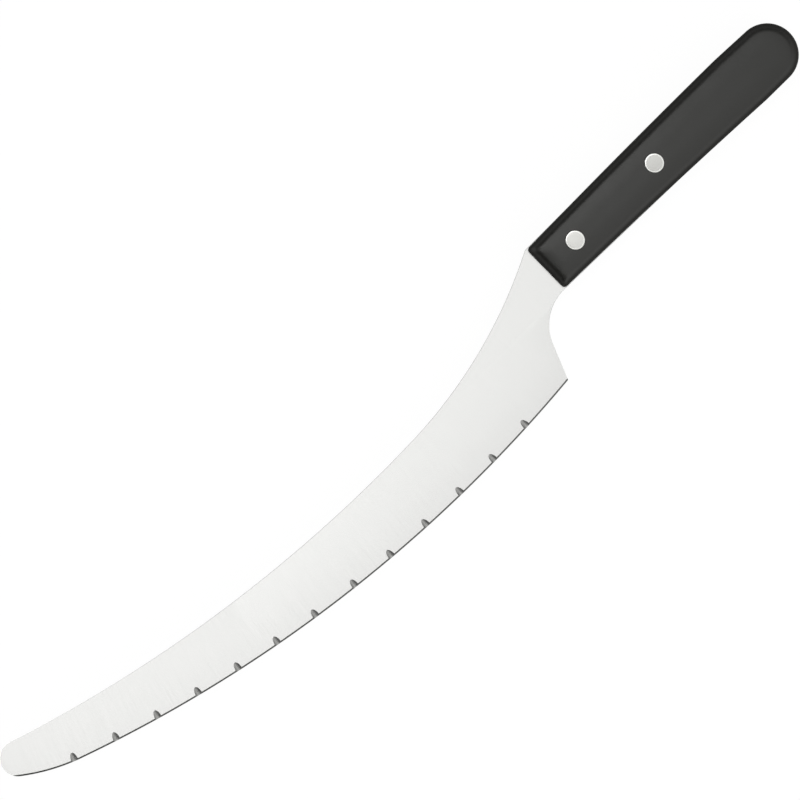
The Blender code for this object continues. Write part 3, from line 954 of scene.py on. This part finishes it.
    def wheel_rim(self, size: Vector) -> Piece:
        """Turn the lowest third of a ball and stretch it to the size of the wheel's rim."""
        pen = Pen("wheel_rim", -UP)
        pen.arc(Vector(), self.rim_reach, self.rim_steps, axis=Vector((0.0, -1.0, 0.0)))
        pen.line_to(-UP * math.cos(self.rim_reach))
        rim = pen.lathe(Vector(), self.flute_facets)
        rim.scale = size
        only(rim)
        bpy.ops.object.transform_apply()
        return rim


@dataclass
class Handle:
    """One-piece moulded handle with a saw slot for the tang and stepped bores for the rivets.

    The facets of the long edges are longer than the face's rounding and crown are wide together,
    because an inset can't close up an edge.
    """

    datum: Datum
    plan: HandlePlan
    blade: Blade
    long_edge_steps: int = 8
    rounding_steps: int = 12
    crown_steps: int = 6
    corner_steps: int = 8
    butt_steps: int = 56
    mitre_length: float = 6.5 * MM
    slot_play: float = 0.06 * MM
    margin: float = 2.0 * MM
    crease: float = math.radians(30.0)

    def __post_init__(self) -> None:
        """Work out the section and how much of the side is left upright."""
        self.section = self.plan.section(self.rounding_steps, self.crown_steps)
        self.side = self.plan.thickness - 2.0 * self.section[-1][1]

    def build(self) -> None:
        """Model the handle and put it in the place of its CAD node."""
        handle = self.body()
        drills = self.blade.plan.rivets.drills(self.datum, self.plan.thickness, self.margin)
        cut_away(handle, [self.slot_saw(), *drills])
        handle.data.materials.clear()
        handle.data.materials.append(MouldedPlastic(name="moulded_black_acetal").material())
        smooth(handle, self.crease)
        stand_for(handle, "handle")

    def body(self) -> Piece:
        """Draw the outline, give it its thickness and round both faces into the edges."""
        plan = self.plan
        low = -self.side / 2.0
        foot = self.datum.point(0.0, plan.bottom(0.0), low)
        head = self.datum.point(0.0, plan.top(0.0), low)
        crest_bottom = self.datum.point(plan.length - plan.crest_bottom_back, -plan.crest_bottom, low)
        crest_top = self.datum.point(plan.length - plan.crest_top_back, plan.crest_top, low)
        butt = self.datum.point(plan.length - plan.butt_radius, -plan.butt_drop, low)
        touch_bottom = touch_point(crest_bottom, butt, plan.butt_radius, 1)
        touch_top = touch_point(crest_top, butt, plan.butt_radius, -1)
        turn = (angle_of(butt, touch_top) - angle_of(butt, touch_bottom)) % math.tau
        pen = Pen("moulded_handle", foot)
        pen.shallow_arc(crest_bottom, -plan.grip_hollow, self.long_edge_steps)
        pen.line_to(touch_bottom)
        pen.arc(butt, turn, self.butt_steps)
        pen.line_to(crest_top)
        pen.shallow_arc(head, plan.back_bulge, self.long_edge_steps)
        pen.line_to(foot)
        handle = pen.face()
        pen.thicken(self.side)
        for side in (1.0, -1.0):
            select_level(handle, side)
            for (near, under), (far, over) in zip(self.section, self.section[1:]):
                bpy.ops.mesh.inset(thickness=far - near, depth=over - under)
        self.round_front_corners(handle)
        return pen.solid()

    def slot_saw(self) -> Piece:
        """Saw the slot that holds the tang, open to the front and to both edges."""
        plan = self.blade.plan
        depth = plan.rivets.first + plan.rivets.spacing + plan.tang_tail + 2.0 * self.slot_play
        size = (depth + self.margin, 4.0 * self.plan.crest_top, self.blade.sheet + 2.0 * self.slot_play)
        deselect()
        bpy.ops.mesh.primitive_cube_add(size=1.0, location=self.datum.point((depth - self.margin) / 2.0, 0.0),
                                        scale=size)
        bpy.ops.object.transform_apply()
        return bpy.context.object

    def round_front_corners(self, handle: Piece) -> None:
        """Round the two upright corners of the front, and the mitres until they run out on the crown."""
        bpy.ops.mesh.select_mode(type="EDGE")
        bpy.ops.mesh.select_all(action="DESELECT")
        limit = self.datum.front + self.mitre_length
        work = bmesh.from_edit_mesh(handle.data)
        for edge in work.edges:
            low, high = (point.co for point in edge.verts)
            if abs(low.z - high.z) > WELD and max(low.x, high.x) < limit:
                edge.select_set(True)
        bmesh.update_edit_mesh(handle.data)
        bpy.ops.mesh.bevel(offset=self.plan.front_rounding, segments=self.corner_steps, affect="EDGES",
                           clamp_overlap=False)


# The rear rivet's head is a little darker than the front one's
HEAD_TONES = {"front": ("#C6C6C4", "#B0B0AE"), "rear": ("#B9B9B7", "#A3A3A1")}


@dataclass
class Rivet:
    """A two-piece rivet: a pin pressed into a tube, each with a head flush with the handle."""

    datum: Datum
    plan: RivetPlan
    name: str
    x: float
    y: float
    face: float
    rim_steps: int = 6
    crease: float = math.radians(35.0)

    def build(self, half: Half, sanded: bpy.types.Material, burnished: bpy.types.Material) -> None:
        """Turn one half and put it in the place of its CAD node.

        Args:
            half: Which half.
            sanded: Finish of the head's face and of all that the handle hides.
            burnished: Finish of the head's rim.
        """
        profile = self.pin_profile() if half is Half.PIN else self.tube_profile()
        profile = [(radius, height * half.value) for radius, height in profile]
        axis = self.datum.point(self.x, self.y)
        piece = turned(f"{self.name}_{half.name.lower()}", profile, axis, self.plan.facets)
        piece.data.materials.append(sanded)
        piece.data.materials.append(burnished)
        inner = self.plan.head_radius - self.plan.head_rounding - self.plan.rim_width
        seat = self.face - self.plan.head_thickness
        for face in piece.data.polygons:
            out = Vector((face.center.x - axis.x, face.center.y - axis.y, 0.0)).length
            on_head = (face.center.z - axis.z) * half.value > seat + self.plan.head_rounding
            face.material_index = 1 if on_head and out > inner else 0
        smooth(piece, self.crease)
        stand_for(piece, f"{self.name}_rivet_{half.name.lower()}")

    def head_profile(self) -> list[tuple[float, float]]:
        """Give the head from its middle, over a slightly sunk burnished rim, to its seat."""
        plan = self.plan
        rim_top = self.face - plan.rim_drop
        flat = plan.head_radius - plan.head_rounding
        points = [(0.0, self.face), (flat - plan.rim_width, self.face), (flat, rim_top)]
        for i in range(1, self.rim_steps + 1):
            angle = math.pi / 2.0 * i / self.rim_steps
            points.append((flat + plan.head_rounding * math.sin(angle),
                           rim_top - plan.head_rounding * (1.0 - math.cos(angle))))
        points.append((plan.head_radius, self.face - plan.head_thickness))
        return points

    def pin_profile(self) -> list[tuple[float, float]]:
        """Give the pin half: head, then a solid pin that ends in the tube."""
        plan = self.plan
        end = plan.tube_floor - self.face + plan.seat_gap
        seat = self.face - plan.head_thickness
        return self.head_profile() + [(plan.pin_radius, seat), (plan.pin_radius, end), (0.0, end)]

    def tube_profile(self) -> list[tuple[float, float]]:
        """Give the tube half: head, then a tube that ends short of the pin's head."""
        plan = self.plan
        seat = self.face - plan.head_thickness
        bore = plan.tube_radius - plan.tube_wall
        end = plan.seat_gap - seat
        floor = self.face - plan.tube_floor
        return self.head_profile() + [(plan.tube_radius, seat), (plan.tube_radius, end), (bore, end),
                                      (bore, floor), (0.0, floor)]


@dataclass(frozen=True)
class Softbox:
    """A large soft lamp, given by the angles between which the knife sees it.

    The angles are in degrees from straight up: across towards the butt, and along towards the
    spine. A lamp that stands on the floor has negative angles in its second pair, from its top to
    its foot, and a bearing: the angle by which it is carried round the knife from the edge's side.
    """

    name: str
    distance: float
    across: tuple[float, float]
    along: tuple[float, float]
    radiance: float
    bearing: float = 0.0
    tint: str = "#FFFFFD"

    def make(self, aim: Vector, turn: Matrix, low: float, high: float) -> None:
        """Make the lamp, with its power worked out from its radiance and size.

        Args:
            aim: The point that the lamp's angles count from.
            turn: Turns a lamp that hangs over the aim into its place.
            low: Near or lower end of the lamp, from the middle of its sight.
            high: Its other end.
        """
        left, right = (self.distance * math.tan(math.radians(angle)) for angle in self.across)
        lamp = bpy.data.lights.new(self.name, "AREA")
        lamp.shape = "RECTANGLE"
        lamp.color = linear(self.tint)[:3]
        lamp.size = right - left
        lamp.size_y = high - low
        lamp.energy = self.radiance * math.pi * lamp.size * lamp.size_y
        made = bpy.data.objects.new(self.name, lamp)
        centre = Vector(((left + right) / 2.0, (low + high) / 2.0, self.distance))
        made.matrix_world = Matrix.Translation(aim) @ turn.to_4x4() @ Matrix.Translation(centre)
        bpy.context.scene.collection.objects.link(made)

    def hang(self, aim: Vector) -> None:
        """Hang the lamp level above the knife, facing down."""
        near, far = (self.distance * math.tan(math.radians(angle)) for angle in self.along)
        self.make(aim, Matrix.Identity(3), near, far)

    def stand(self, aim: Vector) -> None:
        """Stand the lamp upright beside the knife, facing it."""
        top, foot = (self.distance / math.tan(math.radians(-angle)) for angle in self.along)
        turn = Matrix.Rotation(math.radians(self.bearing), 3, "Z") @ Matrix.Rotation(math.pi / 2.0, 3, "X")
        self.make(aim, turn, foot, top)


@dataclass
class Studio:
    """Plain white floor, soft light from above and three sides, and the camera of the photograph."""

    pixel: float = 0.367 * MM
    frame_pixels: int = 800
    aim: tuple[float, float, float] = (-107.1 * MM, 3.2 * MM, 8.5 * MM)
    handle_angle: float = math.radians(44.25)
    camera_height: float = 3.0
    lamp_height: float = 4.5
    lamp_gap: float = 0.05
    sensor: float = 36.0 * MM
    floor_size: float = 40.0
    floor_drop: float = 0.05 * MM
    white: str = "#FFFFFF"
    dim: str = "#3E3E3E"
    horizon_low: float = math.radians(1.5)
    horizon_high: float = math.radians(10.0)

    def build(self) -> None:
        """Set up the floor, the lamps, the surroundings and the camera."""
        self.floor()
        self.surroundings()
        self.camera()
        for lamp in (
            Softbox("fill_softbox", self.lamp_height, (-13.0, 34.0), (-50.0, 25.0), 1.45),
            Softbox("overhead_softbox", self.lamp_height - self.lamp_gap, (-13.0, 15.0), (-5.0, 10.0), 0.3),
            Softbox("key_softbox", self.lamp_height - 2.0 * self.lamp_gap, (-13.0, 15.0), (10.0, 25.0), 2.95),
        ):
            lamp.hang(Vector(self.aim))
        # Seen from a low angle, the flat steel mirrors one of these and not the dim room
        for lamp in (
            Softbox("edge_side_softbox", self.lamp_height, (-36.0, 26.0), (-50.0, -88.0), 1.6),
            Softbox("butt_side_softbox", self.lamp_height, (-18.0, 30.0), (-50.0, -88.0), 1.05, bearing=45.0),
            Softbox("tip_side_softbox", self.lamp_height, (-26.0, 26.0), (-48.0, -86.0), 1.3, bearing=-135.0),
        ):
            lamp.stand(Vector(self.aim))
        bpy.context.scene.view_settings.view_transform = "Standard"

    def floor(self) -> None:
        """Lay the floor that the handle rests on."""
        deselect()
        bpy.ops.mesh.primitive_plane_add(size=self.floor_size, location=(0.0, 0.0, -self.floor_drop))
        floor = bpy.context.object
        floor.name = "paper_floor"
        bpy.ops.object.transform_apply()
        floor.data.materials.append(PaperFloor(name="white_paper").material())

    def surroundings(self) -> None:
        """Make the room dim, with a white band at the horizon that continues the floor."""
        world = bpy.data.worlds.new("soft_room")
        world.use_nodes = True
        wires = Wiring(world.node_tree)
        height = wires.part(wires.place("Generated"), "Z")
        band = wires.ramp(height, math.sin(self.horizon_low), math.sin(self.horizon_high), 0.0, 1.0)
        wires.feed(world.node_tree.nodes["Background"], {"Color": wires.blend(band, self.white, self.dim)})
        bpy.context.scene.world = world

    def camera(self) -> None:
        """Look straight down at the knife, turned so that the handle points to the upper right."""
        lens = bpy.data.cameras.new("camera")
        lens.sensor_width = self.sensor / MM
        lens.lens = self.sensor / MM * self.camera_height / (self.pixel * self.frame_pixels)
        camera = bpy.data.objects.new("camera", lens)
        camera.location = Vector(self.aim) + UP * self.camera_height
        camera.rotation_euler = (0.0, 0.0, -self.handle_angle)
        bpy.context.scene.collection.objects.link(camera)
        bpy.context.scene.camera = camera


def main() -> None:
    """Build the knife's pieces in order, then the studio."""
    logging.basicConfig(level=logging.INFO, format="%(message)s")
    datum = Datum.from_frame()
    rivets = RivetPlan()
    handle_plan = HandlePlan()
    blade = Blade(datum, BladePlan(handle_plan, rivets))
    blade.build()
    Handle(datum, handle_plan, blade).build()
    # A bright thin ring round each head
    burnished = SandedSteel(name="burnished_rivet_rim", light="#C6C6C4", dark="#BEBEBC", roughness=0.2,
                            line_spacing=0.3 * MM, line_depth=0.001 * MM).material()
    for name, (x, y) in rivets.places().items():
        light, dark = HEAD_TONES[name]
        # A light, slightly cloudy disc
        sanded = SandedSteel(name=f"sanded_{name}_rivet_steel", light=light, dark=dark, roughness=0.42,
                             line_spacing=0.4 * MM, line_depth=0.008 * MM).material()
        rivet = Rivet(datum, rivets, name, x, y, handle_plan.thickness / 2.0)
        for half in Half:
            rivet.build(half, sanded, burnished)
    Studio().build()


if __name__ == "__main__":
    main()
